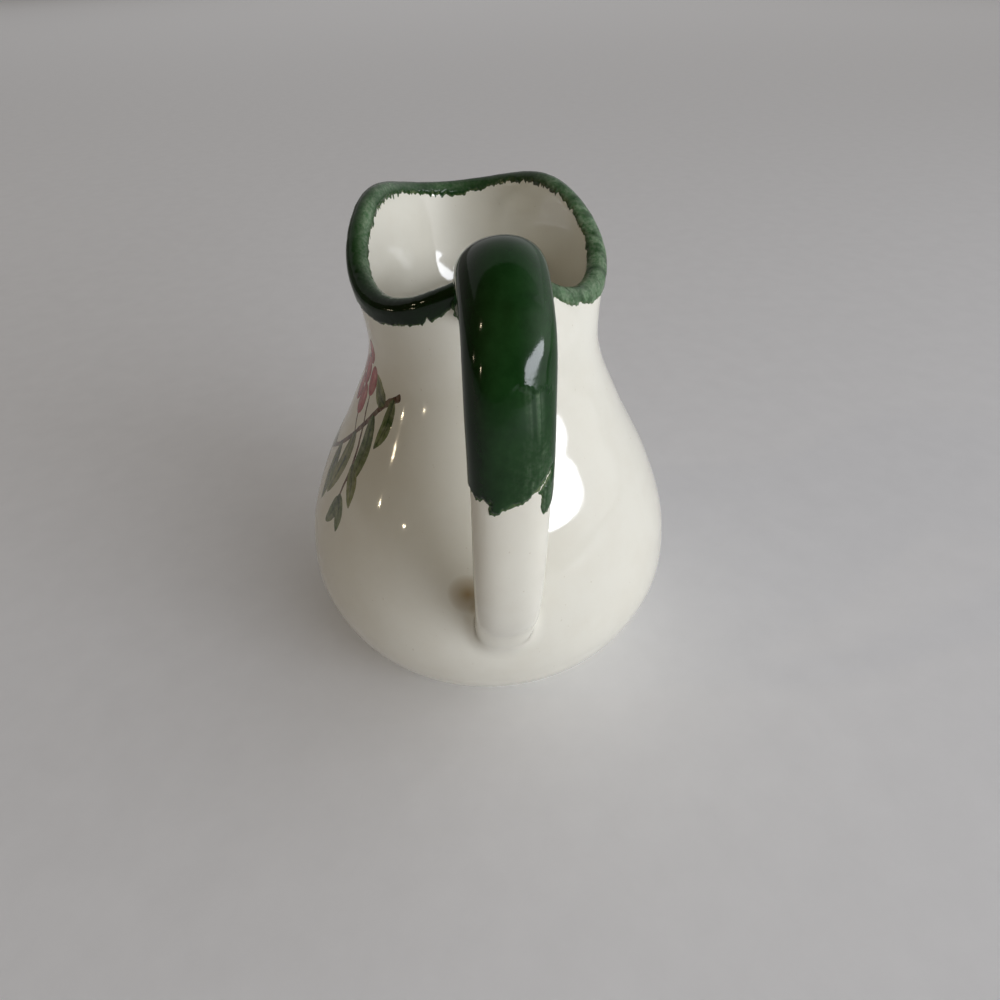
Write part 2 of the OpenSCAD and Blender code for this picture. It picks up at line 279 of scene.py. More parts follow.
def strap_point(u, a):
    u, a = np.broadcast_arrays(np.asarray(u, float), np.asarray(a, float))
    return strap_middle(u) + strap_offset(u, a)


# The ring where the strap would meet the shell, a wider ring on the shell, and a ring on the way to the
# strap's free part
def print_ring(u, way, a):
    u = np.full(a.shape, u)
    return touch(strap_middle(u) + strap_offset(u, a), strap_along(u) * way)


def spread_ring(ring, centre, by):
    away = ring - centre
    q = ring + by * away / np.linalg.norm(away, axis=-1, keepdims=True)
    a = np.arctan2(q[..., 1], q[..., 0])
    r = outside_radius(a, q[..., 2])
    return np.stack([r * np.cos(a), r * np.sin(a), q[..., 2]], -1)


def stepped(ring, free, d):
    way = free - ring
    gap = np.linalg.norm(way, axis=-1, keepdims=True)
    return ring + way * np.minimum(STEP_MOST, d / gap)


# Repeatable noise from -1 to 1, on a lattice that can repeat along x, and layers of it that get finer
LATTICE = 256
LAYER_FADE = 0.55


def noise(x, y, seed, period=0):
    table = np.random.RandomState(seed).rand(LATTICE, LATTICE) * 2 - 1
    x, y = np.broadcast_arrays(np.asarray(x, float), np.asarray(y, float))
    xi = np.floor(x).astype(int)
    yi = np.floor(y).astype(int)
    fx = eased(x - xi)
    fy = eased(y - yi)
    wrap = period if period else LATTICE
    x0 = np.mod(xi, wrap) % LATTICE
    x1 = np.mod(xi + 1, wrap) % LATTICE
    y0 = np.mod(yi, LATTICE)
    y1 = np.mod(yi + 1, LATTICE)
    low = table[y0, x0] * (1 - fx) + table[y0, x1] * fx
    high = table[y1, x0] * (1 - fx) + table[y1, x1] * fx
    return low * (1 - fy) + high * fy


def layered(x, y, seed, octaves=3, period=0):
    total = 0.0
    size = 1.0
    for k in range(octaves):
        scale = 2**k
        finer = noise(np.asarray(x) * scale, np.asarray(y) * scale, seed + 17 * k, period * scale)
        total = total + size * finer
        size *= LAYER_FADE
    return total


# Meshes
def mesh(name, points, faces, smooth=True):
    data = bpy.data.meshes.new(name)
    data.from_pydata([tuple(p) for p in np.asarray(points) * MM], [], [tuple(f) for f in faces])
    data.update()
    if smooth:
        data.shade_smooth()
    obj = bpy.data.objects.new(name, data)
    bpy.context.scene.collection.objects.link(obj)
    return obj


def grid_faces(rows, columns, closed=True, flip=False):
    faces = []
    for i in range(rows - 1):
        for j in range(columns if closed else columns - 1):
            k = (j + 1) % columns
            f = (i * columns + j, i * columns + k, (i + 1) * columns + k, (i + 1) * columns + j)
            faces.append(f[::-1] if flip else f)
    return faces


def grid_normals(points, closed=True):
    if closed:
        across = np.roll(points, -1, 1) - np.roll(points, 1, 1)
    else:
        across = np.gradient(points, axis=1)
    n = np.cross(across, np.gradient(points, axis=0))
    return n / np.maximum(TINY, np.linalg.norm(n, axis=-1, keepdims=True))


# A coat on a grid of surface points: it lies where the field is above zero, and its edge is the zero line
def coat(name, points, normals, field, height, shades, closed, flip=False):
    rows, columns = field.shape
    inside = field > 0
    number = -np.ones(field.shape, int)
    number[inside] = np.arange(inside.sum())
    verts = list((points + normals * height[..., None])[inside])
    tones = {k: list(v[inside]) for k, v in shades.items()}
    cut = {}
    faces = []

    def edge(a, b):
        key = (a, b) if a < b else (b, a)
        if key not in cut:
            p, q = key
            t = field[p] / (field[p] - field[q])
            cut[key] = len(verts)
            verts.append(points[p] * (1 - t) + points[q] * t)
            near = p if inside[p] else q
            for k, v in shades.items():
                tones[k].append(v[near] * (0.0 if k == "cover" else 1.0))
        return cut[key]

    for i in range(rows - 1):
        for j in range(columns if closed else columns - 1):
            k = (j + 1) % columns
            corners = ((i, j), (i, k), (i + 1, k), (i + 1, j))
            held = [inside[c] for c in corners]
            if all(held):
                faces.append(tuple(number[c] for c in corners))
            elif any(held):
                ring = []
                for m in range(4):
                    here = corners[m]
                    there = corners[(m + 1) % 4]
                    if held[m]:
                        ring.append(number[here])
                    if held[m] != held[(m + 1) % 4]:
                        ring.append(edge(here, there))
                if len(ring) >= 3:
                    faces.append(tuple(ring))
    if flip:
        faces = [f[::-1] for f in faces]
    obj = mesh(name, np.array(verts), faces)
    for k, v in tones.items():
        v = np.array(v)
        if v.ndim == 2:
            layer = obj.data.attributes.new(k, "FLOAT_COLOR", "POINT")
            layer.data.foreach_set("color", np.concatenate([v, np.ones((len(v), 1))], 1).ravel())
        else:
            layer = obj.data.attributes.new(k, "FLOAT", "POINT")
            layer.data.foreach_set("value", v)
    return obj


# Shell: columns round it, rings up the lower and upper wall, over the lip and down the inside, and the shares
# of the wall's height where the rings get denser and where the inside wall ends
AROUND = 320
LOW_RINGS = 100
HIGH_RINGS = 66
LIP_RINGS = 24
INNER_RINGS = 90
DENSE_SHARE = 0.74
INNER_LOW_SHARE = 0.05
# The floor inside: shares of the foot's radius, and how far each ring is above the floor
INNER_FLOOR = ((1.0, 0.35), (0.9, 0.12), (0.75, 0.0), (0.4, 0.0), (0.2, 0.0), (0.0, 0.0))
angles = np.linspace(0, 2 * np.pi, AROUND, endpoint=False)


# From the recess over the foot ring, up the wall, over the lip and down to the floor inside. Each ring has a
# radius, a height, and how far it is set in and raised
def shell_rings():
    rings = []
    for r, z in (
        (0.0, RECESS_DEPTH),
        (FOOT_INNER * 0.25, RECESS_DEPTH),
        (FOOT_INNER * 0.5, RECESS_DEPTH),
        (FOOT_INNER * 0.75, RECESS_DEPTH),
        (FOOT_INNER - FOOT_EDGE * 2.4, RECESS_DEPTH),
        (FOOT_INNER - FOOT_EDGE * 1.5, RECESS_DEPTH),
        (FOOT_INNER - FOOT_EDGE * 0.9, RECESS_DEPTH * 0.94),
        (FOOT_INNER - FOOT_EDGE * 0.5, RECESS_DEPTH * 0.8),
        (FOOT_INNER - FOOT_EDGE * 0.2, RECESS_DEPTH * 0.55),
        (FOOT_INNER, FOOT_EDGE),
        (FOOT_INNER + FOOT_EDGE * 0.15, FOOT_EDGE * 0.5),
        (FOOT_INNER + FOOT_EDGE * 0.5, FOOT_EDGE * 0.12),
        (FOOT_INNER + FOOT_EDGE, 0.0),
        (FOOT_OUTER - FOOT_EDGE, 0.0),
        (FOOT_OUTER - FOOT_EDGE * 0.5, FOOT_EDGE * 0.12),
        (FOOT_OUTER - FOOT_EDGE * 0.15, FOOT_EDGE * 0.5),
        (FOOT_OUTER, FOOT_EDGE),
        (FOOT_OUTER + 0.1, FOOT_HEIGHT * 0.45),
        (FOOT_OUTER + 0.2, FOOT_HEIGHT * 0.7),
    ):
        rings.append((r, z, 0.0, 0.0))
    low = FOOT_HEIGHT / WALL_HEIGHT
    lower = np.linspace(low, DENSE_SHARE, LOW_RINGS, endpoint=False)
    upper = np.linspace(DENSE_SHARE, 1, HIGH_RINGS)
    for t in np.concatenate([lower, upper]):
        rings.append((float(wall_radius(t)), t * WALL_HEIGHT, 0.0, 0.0))
    for i in range(1, LIP_RINGS + 1):
        rings.append(lip_ring(math.pi * i / LIP_RINGS))
    upper = np.linspace(1, DENSE_SHARE, HIGH_RINGS)[1:]
    lower = np.linspace(DENSE_SHARE, INNER_LOW_SHARE, INNER_RINGS)[1:]
    for t in np.concatenate([upper, lower]):
        rings.append(inside_ring(t))
    for share, up in INNER_FLOOR:
        rings.append((FOOT_RADIUS * share, FLOOR_HEIGHT + up, 0.0, 0.0))
    return rings


def lip_ring(b):
    return MOUTH_RADIUS, WALL_HEIGHT, LIP_RADIUS * (1 - math.cos(b)), LIP_RADIUS * math.sin(b)


def inside_ring(t):
    m = float(wall_lean(t))
    n = math.sqrt(1 + m * m)
    return float(wall_radius(t)), t * WALL_HEIGHT, WALL_THICKNESS / n, WALL_THICKNESS * m / n


rings = shell_rings()
points = np.concatenate([ring_point(r, z, inset, rise, angles) for r, z, inset, rise in rings[1:-1]])
faces = grid_faces(len(rings) - 2, AROUND)
points = np.concatenate([points, [[0, 0, RECESS_DEPTH]], [[0, 0, FLOOR_HEIGHT]]])
low_point = len(points) - 2
last = (len(rings) - 3) * AROUND
faces += [(low_point, (j + 1) % AROUND, j) for j in range(AROUND)]
faces += [(low_point + 1, last + j, last + (j + 1) % AROUND) for j in range(AROUND)]
shell = mesh("jug_shell", points, faces)

# Strap
STRAP_AROUND = 120
STRAP_STEPS = 260
turns = np.linspace(0, 2 * np.pi, STRAP_AROUND, endpoint=False)
free_shares = np.linspace(UPPER_FREE, LOWER_FREE, STRAP_STEPS + 1)


def root_rings(u, way, a, reach_out):
    ring = print_ring(u, way, a)
    step = stepped(ring, strap_point(u, a), reach_out)
    centre = touch(strap_middle(np.array([u])), strap_along(np.array([u])) * way)[0]
    return step, ring, spread_ring(ring, centre, reach_out)


# A curve from one ring to another that is bent toward a third
def bent(step, ring, wide, s):
    return step * (1 - s) ** 2 + ring * 2 * s * (1 - s) + wide * s**2


upper_step, upper_print, upper_wide = root_rings(UPPER_FREE, -1, turns, UPPER_FILLET)
lower_step, lower_print, lower_wide = root_rings(LOWER_FREE, 1, turns, LOWER_FILLET)
strap_rows = [upper_step] + [strap_point(u, turns) for u in free_shares] + [lower_step]
strap = mesh("jug_strap", np.concatenate(strap_rows), grid_faces(len(strap_rows), STRAP_AROUND, flip=True))


# Outward normals of the shell, from its own formula
TURN_STEP = 0.002
RISE_STEP = 0.05


def shell_normal(p):
    a = np.arctan2(p[..., 1], p[..., 0])
    z = p[..., 2]

    def at(a, z):
        r = outside_radius(a, z)
        return np.stack([r * np.cos(a), r * np.sin(a), z], -1)

    around = at(a + TURN_STEP, z) - at(a - TURN_STEP, z)
    n = np.cross(around, at(a, z + RISE_STEP) - at(a, z - RISE_STEP))
    return n / np.linalg.norm(n, axis=-1, keepdims=True)


# Slip fillets between the strap and the shell. Their first and last normals are the neighbours' own
FILLET_ROWS = 17
FIRST_BLEND = 0.5
FINAL_BLEND = 0.4


def fillet(name, step, ring, wide, beside):
    shares = np.linspace(0, 1, FILLET_ROWS)
    rows = np.array([bent(step, ring, wide, s) for s in shares])
    normals = grid_normals(rows)
    on_shell = shell_normal(wide)
    flip = float((normals[-1] * on_shell).sum()) < 0
    if flip:
        normals = -normals
    on_strap = grid_normals(np.array([beside, step]))[1]
    if float((on_strap * normals[1]).sum()) < 0:
        on_strap = -on_strap
    first = eased(1 - shares / FIRST_BLEND)[:, None, None]
    final = eased((shares - (1 - FINAL_BLEND)) / FINAL_BLEND)[:, None, None]
    normals = normals * (1 - first) + on_strap[None] * first
    normals = normals * (1 - final) + on_shell[None] * final
    normals /= np.linalg.norm(normals, axis=-1, keepdims=True)
    obj = mesh(name, np.concatenate(list(rows)), grid_faces(len(rows), STRAP_AROUND, flip=flip))
    obj.data.normals_split_custom_set_from_vertices([tuple(n) for n in normals.reshape(-1, 3)])
    return obj


upper_joint = fillet("upper_joint", upper_step, upper_print, upper_wide, strap_point(UPPER_FREE, turns))
lower_joint = fillet("lower_joint", lower_step, lower_print, lower_wide, strap_point(LOWER_FREE, turns))

# Green coat over the lip. Places across the lip are in mm from its top: below zero outside, above zero inside
LIP_QUARTER = LIP_RADIUS * math.pi / 2
COAT_AROUND = 1000
COAT_STEP = 0.19
COAT_OUTSIDE = -8.6
COAT_INSIDE = 6.0


def lip_row(s):
    if s <= -LIP_QUARTER:
        t = 1 + (s + LIP_QUARTER) / WALL_HEIGHT
        return float(wall_radius(t)), t * WALL_HEIGHT, 0.0, 0.0
    if s < LIP_QUARTER:
        return lip_ring((s + LIP_QUARTER) / LIP_RADIUS)
    return inside_ring(1 - (s - LIP_QUARTER) / WALL_HEIGHT)


coat_turns = np.linspace(-np.pi, np.pi, COAT_AROUND, endpoint=False)
across = np.arange(COAT_OUTSIDE, COAT_INSIDE, COAT_STEP)
lip_points = np.array([ring_point(*lip_row(s), coat_turns) for s in across])
lip_normals = grid_normals(lip_points)
# Angles in degrees and the coat's outer and inner edges there
OUTER_EDGE = (
    (-180, -3.7), (-160, -3.8), (-146, -3.8), (-138, -3.9), (-132, -4.5), (-127, -5.2), (-121, -4.0),
    (-113, -5.1), (-104, -6.1), (-90, -6.2), (-60, -5.7), (-30, -5.2), (0, -5.5), (30, -5.6), (60, -5.9),
    (90, -6.2), (108, -6.4), (116, -7.0), (149, -7.1), (151, -6.9), (152.3, -5.5), (153.6, -6.8), (156, -6.7),
    (160, -5.9), (164, -4.4), (172, -3.8),
)
INNER_EDGE = (
    (-180, 2.6), (-126, 2.6), (-100, 2.8), (-86, 2.6), (-78, 2.2), (-50, 2.2), (-42, 2.8), (-18, 2.6),
    (-8, 2.5), (-1, 3.2), (10, 3.6), (26, 3.0), (47, 3.4), (63, 3.6), (77, 3.9), (90, 3.0), (104, 2.7),
    (150, 2.6),
)


def round_table(table, degrees):
    t = np.array(table, float)
    return np.interp(degrees, t[:, 0], t[:, 1], period=360)


# A soft hump of height 1 at a middle; a higher power makes it flatter on top
def hump(value, middle, reach, power=2):
    return np.exp(-(((value - middle) / reach) ** power))


# How fast a coat thickens from its edge, and how far noise moves its edges, in mm
LIP_RAMP = 1.1
HANDLE_RAMP = 1.2
EDGE_LEAD = 0.02
TEETH_SIZE = 0.42
OUTER_DRIFT = 0.25
INNER_DRIFT = 0.3
CHIP_SIZE = 0.3
HANDLE_TEETH = 0.22
HANDLE_CHIP_SIZE = 0.28

# Noise round the lip: teeth on the outer edge, hairs on the inner one, slow drift, and chips all over
degrees = np.degrees(coat_turns)
run = (coat_turns + np.pi) / (2 * np.pi)
teeth = layered(run * 150, 0.5, 3, 3, 150)
hairs = layered(run * 250, 0.5, 5, 2, 250)
slow = layered(run * 30, 0.5, 9, 2, 30)
chips = layered(run[None, :] * 300, across[:, None] / 0.8, 21, 3, 300)
uneven = layered(run[None, :] * 90, across[:, None] / 2, 33, 2, 90)
scuffs = layered(run[None, :] * 120, across[:, None] / 2.2, 37, 3, 120)
outer = round_table(OUTER_EDGE, degrees) + TEETH_SIZE * teeth + OUTER_DRIFT * slow
inner = round_table(INNER_EDGE, degrees) + TEETH_SIZE * hairs + INNER_DRIFT * slow
lip_field = np.minimum(across[:, None] - outer[None, :], inner[None, :] - across[:, None]) + CHIP_SIZE * chips
lip_cover = eased((lip_field + EDGE_LEAD) / LIP_RAMP) * (0.9 + 0.1 * uneven)

# The coat is worn along the inner edge and paler on the right. Painted shade darkens it on the left outside,
# and painted warm shade makes it brown far inside
WORN_PLACE = 1.3
WORN_SIDE = 100
RIGHT_SIDE = -95
SHADED_SIDE = 140
WARM_SHADE_SIDE = -45
lip_worn = hump(across[:, None], WORN_PLACE, 1.3) * (0.55 + 0.45 * slow[None, :])
lip_worn = lip_worn * (0.6 + 0.4 * np.cos(np.radians(degrees - WORN_SIDE)))[None, :]
lip_worn = lip_worn + hump(degrees, RIGHT_SIDE, 52, 4)[None, :] * (0.85 + 0.5 * scuffs)
lip_painted_shade = hump(degrees, SHADED_SIDE, 32)[None, :] * eased((0.5 - across[:, None]) / 2.5)
lip_warm_shade = hump(degrees, WARM_SHADE_SIDE, 42)[None, :] * eased((across[:, None] - 1.2) / 1.6)
rim_coat = coat(
    "rim_coat", lip_points, lip_normals, lip_field, GLAZE * lip_cover,
    {
        "cover": np.clip(lip_cover, 0, 1),
        "worn": np.clip(lip_worn, 0, 1),
        "deep": np.clip(lip_painted_shade, 0, 1),
        "warm_shade": np.clip(lip_warm_shade, 0, 1),
    },
    True,
)

# Green coat over the strap, from the slip at the neck to a ragged end under the arch's outer side. Its first
# rows lie on the slip and in the gap to the strap's free part
HANDLE_COAT_AROUND = 216
SLIP_ROWS = 10
GAP_SHARES = (0.25, 0.5, 0.75)
COAT_LOW_SHARE = 0.61
# Where those rows count as lying along the strap, in mm from its free part
FIRST_LENGTHS = (-2.4, -0.1)
coat_angles = np.linspace(0, 2 * np.pi, HANDLE_COAT_AROUND, endpoint=False)
coat_step, coat_print, coat_wide = root_rings(UPPER_FREE, -1, coat_angles, UPPER_FILLET)
handle_rows = [bent(coat_step, coat_print, coat_wide, s) for s in np.linspace(1, 0, SLIP_ROWS)]
first_free = strap_point(UPPER_FREE, coat_angles)
handle_rows += [coat_step + (first_free - coat_step) * s for s in GAP_SHARES]
coat_shares = np.arange(UPPER_FREE, COAT_LOW_SHARE, COAT_STEP / STRAP_LENGTH)
handle_rows += [strap_point(u, coat_angles) for u in coat_shares]
handle_points = np.array(handle_rows)
handle_normals = grid_normals(handle_points)
handle_outward = handle_points - handle_points.mean(1, keepdims=True)
handle_flip = float((handle_normals * handle_outward).sum()) < 0
if handle_flip:
    handle_normals = -handle_normals
FIRST_ROWS = SLIP_ROWS + len(GAP_SHARES)
length = np.concatenate([np.full(FIRST_ROWS, UPPER_FREE * STRAP_LENGTH), coat_shares * STRAP_LENGTH])
length[:FIRST_ROWS] += np.linspace(*FIRST_LENGTHS, FIRST_ROWS)
# Angles round the strap in degrees (270 is the outer side) and the lengths at which the coat ends
END_EDGE = (
    (0, 56.5), (90, 57.2), (180, 56.0), (206, 60.0), (215, 60.5), (226, 60.1), (231, 58.0), (236, 55.6),
    (246, 55.8), (251, 56.6), (262, 57.5), (271, 57.9), (283, 58.5), (290, 59.5), (302, 59.3), (306, 57.6),
    (314, 56.9), (320, 57.5), (330, 57.2), (345, 56.4),
)
AROUND_MM = 40
SCRATCH_TURNS = (206, 218, 228, 238, 248)
SCRATCH_LENGTHS = (52.9, 53.6, 54.8, 55.6, 56.6)
SCRATCH_SIDES = (204, 246)
NO_SCRATCH = 9.0
# Spots: angle, length, and their reach each way
FLECK = (307, 57.5, 9.0, 0.8)
TONGUE = (238, 58.2, 9.0, 2.4)
around_deg = np.degrees(coat_angles)
around_mm = around_deg / 360 * AROUND_MM
turn = around_deg[None, :]
along = length[:, None]
end = round_table(END_EDGE, around_deg) + HANDLE_TEETH * layered(around_mm * 1.3, 0.5, 41, 3, 52)
handle_chips = layered(around_mm[None, :] * 1.5, along * 1.5, 51, 3, 60)
handle_field = end[None, :] - along + HANDLE_CHIP_SIZE * handle_chips


# How far a place is from a spot's middle, as a share of its reach
def from_spot(turn_middle, along_middle, turn_reach, along_reach):
    return np.hypot((turn - turn_middle) / turn_reach, (along - along_middle) / along_reach)


# A bare scratch that parts a tongue of green from the rest, and a bare fleck near the left corner
scratch_end = np.interp(around_deg, SCRATCH_TURNS, SCRATCH_LENGTHS)
scratch = np.abs(along - scratch_end[None, :] - 0.25 * handle_chips) * 0.75 - 0.1
scratch = np.where((turn > SCRATCH_SIDES[0]) & (turn < SCRATCH_SIDES[1]), scratch, NO_SCRATCH)
fleck = from_spot(*FLECK) - 0.55 + 0.5 * handle_chips
tongue = from_spot(*TONGUE) - 0.9 + 0.3 * handle_chips
handle_field = np.minimum(handle_field, np.minimum(scratch, np.minimum(fleck * 1.2, tongue * 2)))
start = along - (length[0] + 0.35) + 0.25 * layered(around_mm * 1.2, 0.5, 61, 2, 48)[None, :]
handle_field = np.minimum(handle_field, start)
handle_cover = eased((handle_field + EDGE_LEAD) / HANDLE_RAMP)
# The coat is worn toward its end on the right, and painted shade darkens it on the left
FADE_START = 44
FADE_RUN = 11
WORN_TURN = 232
SHADED_TURN = 325
fade = eased((along - FADE_START) / FADE_RUN)
right_side = hump(turn, WORN_TURN, 26)
streaks = layered(around_mm[None, :] * 2.4, along * 0.35, 71, 3, 96)
handle_worn = np.clip(fade * 0.26 * right_side + 0.4 * right_side * np.clip(streaks, 0, 1) * fade, 0, 1)
handle_worn = np.clip(handle_worn * (0.85 + 0.5 * handle_chips), 0, 1)
handle_painted_shade = hump(turn, SHADED_TURN, 30) * (0.8 + 0.2 * handle_chips) + 0 * along
# A thick run of glaze on the right corner, flatter along the strap than the strap is, with a ragged lower
# end, and a rubbed patch below it
RUN_MIDDLE = 36.6
RUN_CURVE = 0.0132
RUN_UP = 6.8
RUN_DOWN = 4.0
RUN_TURNS = (205, 275)
RUN_SIDE = 18
RUB_START = 40.2
RUB_END = 51
RUB_TURN = 243
ragged = 0.7 * layered(around_mm * 2.6, 0.5, 75, 3, 104)[None, :]
rub_streaks = layered(around_mm * 3.2, 0.5, 76, 3, 128)[None, :]
rub = hump(turn, RUB_TURN, 12, 4) * eased((along - RUB_START - ragged) / 0.4)
rub = rub * eased((RUB_END - along) / 8) * np.clip(0.5 + 0.9 * rub_streaks, 0, 1)
handle_worn = np.clip(np.maximum(handle_worn, 0.6 * rub), 0, 1)
run_along = along - RUN_MIDDLE
run_glaze = RUN_CURVE * run_along**2
run_glaze = run_glaze * eased((turn - RUN_TURNS[0]) / RUN_SIDE) * eased((RUN_TURNS[1] - turn) / RUN_SIDE)
run_glaze = run_glaze * eased((run_along + RUN_UP) / 2.6) * eased((RUN_DOWN + ragged - run_along) / 0.35)
handle_coat = coat(
    "handle_coat", handle_points, handle_normals, handle_field, GLAZE * handle_cover + run_glaze,
    {"cover": np.clip(handle_cover, 0, 1), "worn": handle_worn, "deep": handle_painted_shade}, True, flip=handle_flip,
)

# Painted sprig on the left side: a brown twig, oval leaves and red berries. Places are in mm along the belly
# and up it, from the sprig's middle
SPRIG_ANGLE = 98.0
SPRIG_HEIGHT = 60.0
SPRIG_STEP = 0.24
SPRIG_HALF_WIDTH = 32
SPRIG_BELOW = -25
SPRIG_ABOVE = 27
PAINT_THICKNESS = 0.02
STROKE_DABS = 240
NO_PAINT = -9.0
sprig_x = np.arange(-SPRIG_HALF_WIDTH, SPRIG_HALF_WIDTH, SPRIG_STEP)
sprig_z = np.arange(SPRIG_BELOW, SPRIG_ABOVE, SPRIG_STEP)
sprig_a = np.radians(SPRIG_ANGLE + sprig_x / BELLY_RADIUS * 180 / np.pi)
aa, zz = np.meshgrid(sprig_a, SPRIG_HEIGHT + sprig_z)
radius = outside_radius(aa, zz)
sprig_points = np.stack([radius * np.cos(aa), radius * np.sin(aa), zz], -1)
sprig_normals = grid_normals(sprig_points, False)
gx, gz = np.meshgrid(sprig_x, sprig_z)
wobble = 0.3 * layered(gx / 1.6, gz / 1.6, 81, 3)
sprig_field = np.full(gx.shape, NO_PAINT)
sprig_color = np.zeros(gx.shape + (3,))


# New paint covers what is there wherever its field is above zero
def lay(field, color):
    top = field > 0
    sprig_color[top] = color[top]
    np.maximum(sprig_field, field, out=sprig_field)


# A brushed line through points
def stroke(line, wide_start, wide_end, dark, light, seed):
    line = np.array(line, float)
    t_knots = np.linspace(0, 1, len(line))
    t = np.linspace(0, 1, STROKE_DABS)
    px = curve(t_knots, line[:, 0], t)
    pz = curve(t_knots, line[:, 1], t)
    far = np.full(gx.shape, np.inf)
    share = np.zeros(gx.shape)
    for k in range(STROKE_DABS):
        d = np.hypot(gx - px[k], gz - pz[k])
        near = d < far
        share = np.where(near, t[k], share)
        far = np.minimum(far, d)
    half = wide_start + (wide_end - wide_start) * share
    grain = np.clip(0.5 + 0.5 * layered(gx * 1.8, gz * 1.8, seed, 2), 0, 1)[..., None]
    color = np.array(dark) * (1 - grain) + np.array(light) * grain
    lay(half - far + 0.35 * wobble, color)


# A leaf from a place on, toward an angle: fuller near its stalk, bent a little to one side, with a dark vein
def leaf(x, z, angle, length_mm, wide, dark, light, seed):
    c = math.cos(math.radians(angle))
    s = math.sin(math.radians(angle))
    u = ((gx - x) * c + (gz - z) * s) / length_mm
    v = -(gx - x) * s + (gz - z) * c
    bow = 0.5 * wide * np.sin(np.pi * np.clip(u, 0, 1)) * 0.35
    half = wide / 2 * np.sqrt(np.clip(u, 0, 1)) * np.clip(1 - u, 0, 1) ** 0.75 * 2.1
    field = np.where((u > 0) & (u < 1), half - np.abs(v - bow), -1.0)
    vein = np.exp(-(((v - bow) / 0.28) ** 2))
    brush = np.clip(0.5 + 0.5 * layered(u * 4, v * 1.7, seed, 3), 0, 1)
    mix = np.clip(0.25 + 0.5 * u + 0.5 * (brush - 0.5) - 0.45 * vein, 0, 1)[..., None]
    lay(field + 0.3 * wobble, np.array(dark) * (1 - mix) + np.array(light) * mix)


# A berry that is lighter toward its middle, with a dab of light
def berry(x, z, r, seed):
    d = np.hypot(gx - x, gz - z)
    field = r - d
    glint = np.exp(-(((gx - x - 0.35 * r) ** 2 + (gz - z - 0.4 * r) ** 2) / (0.3 * r) ** 2))
    mix = np.clip(0.75 * (1 - d / r) + 0.25 + 0.25 * layered(gx, gz, seed, 2), 0, 1)[..., None]
    color = np.array(DARK_BERRY) * (1 - mix) + np.array(LIGHT_BERRY) * mix
    color = color * (1 - 0.5 * glint[..., None]) + 0.5 * glint[..., None] * np.array(BERRY_DAB)
    lay(field + 0.2 * wobble, color)


DARK_BERRY = (0.20, 0.008, 0.018)
LIGHT_BERRY = (0.45, 0.03, 0.05)
BERRY_DAB = (0.75, 0.36, 0.33)
TWIG_DARK = (0.045, 0.022, 0.016)
TWIG_LIGHT = (0.15, 0.075, 0.05)
DARK_LEAF = (0.018, 0.042, 0.014)
LIGHT_LEAF = (0.17, 0.22, 0.07)
OLIVE = (0.3, 0.31, 0.11)
TWIG = [(27, 14), (20, 11), (12, 5), (2, -2), (-10, -8), (-22, -16)]
# Stalks, each with the half width of its start and end
STALKS = (
    ([(13, 5.8), (11.4, 9.4), (10.8, 13.5)], 0.4, 0.25, 92),
    ([(9, 3), (6.6, 6.4), (4.4, 12.6)], 0.4, 0.25, 93),
    ([(13, 5.8), (14.4, -2), (13.4, -10)], 0.45, 0.3, 95),
    ([(-10, -8), (-13.4, -3.4), (-16, 1)], 0.4, 0.25, 94),
)
# Leaves: place, turn in degrees, length, width and lighter colour
LEAVES = (
    (25, 13.4, 250, 11, 4.8, LIGHT_LEAF),
    (21, 11.6, 150, 9, 4.2, OLIVE),
    (17, 8.8, 266, 15, 5.6, LIGHT_LEAF),
    (14.4, -2, 300, 9, 4.4, OLIVE),
    (13.6, -8.6, 286, 8, 3.8, LIGHT_LEAF),
    (13.4, -9.6, 242, 8, 3.8, LIGHT_LEAF),
    (10, 3.4, 254, 16, 5.6, OLIVE),
    (3, -1.2, 268, 14, 5.4, LIGHT_LEAF),
    (-3, -4.6, 166, 11, 4.6, OLIVE),
    (-8, -7, 262, 12, 4.8, OLIVE),
    (-13, -10, 172, 12, 4.6, LIGHT_LEAF),
    (-17, -12.4, 264, 9, 4.2, LIGHT_LEAF),
    (-22, -16, 212, 9, 4.0, OLIVE),
)
# Berries: place and radius
BERRIES = (
    (10.8, 14.2, 3.0), (6.2, 9.4, 3.1), (4.2, 15.2, 3.2), (0.4, 10.6, 3.0), (-1.8, 16.0, 2.9),
    (7.4, 19.6, 2.6), (-19.4, 2.8, 2.3), (-15.6, 5.2, 2.3), (-16.0, 0.8, 2.5),
)
stroke(TWIG, 0.8, 0.35, TWIG_DARK, TWIG_LIGHT, 91)
for line, wide_start, wide_end, seed in STALKS:
    stroke(line, wide_start, wide_end, TWIG_DARK, TWIG_LIGHT, seed)
for k, (x, z, angle, size, wide, light) in enumerate(LEAVES):
    leaf(x, z, angle, size, wide, DARK_LEAF, light, 100 + k)
for k, (x, z, r) in enumerate(BERRIES):
    berry(x, z, r, 120 + k)
sprig_height = np.full(gx.shape, PAINT_THICKNESS)
sprig = coat(
    "painted_sprig", sprig_points, sprig_normals, sprig_field, sprig_height, {"paint": sprig_color}, False
)

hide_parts("body")
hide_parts("handle")
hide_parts("upper_handle_joint")
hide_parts("lower_handle_joint")
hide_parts("rim_glaze")
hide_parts("handle_glaze")
for piece in (shell, strap, upper_joint, lower_joint, rim_coat, handle_coat, sprig):
    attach(piece, "root")


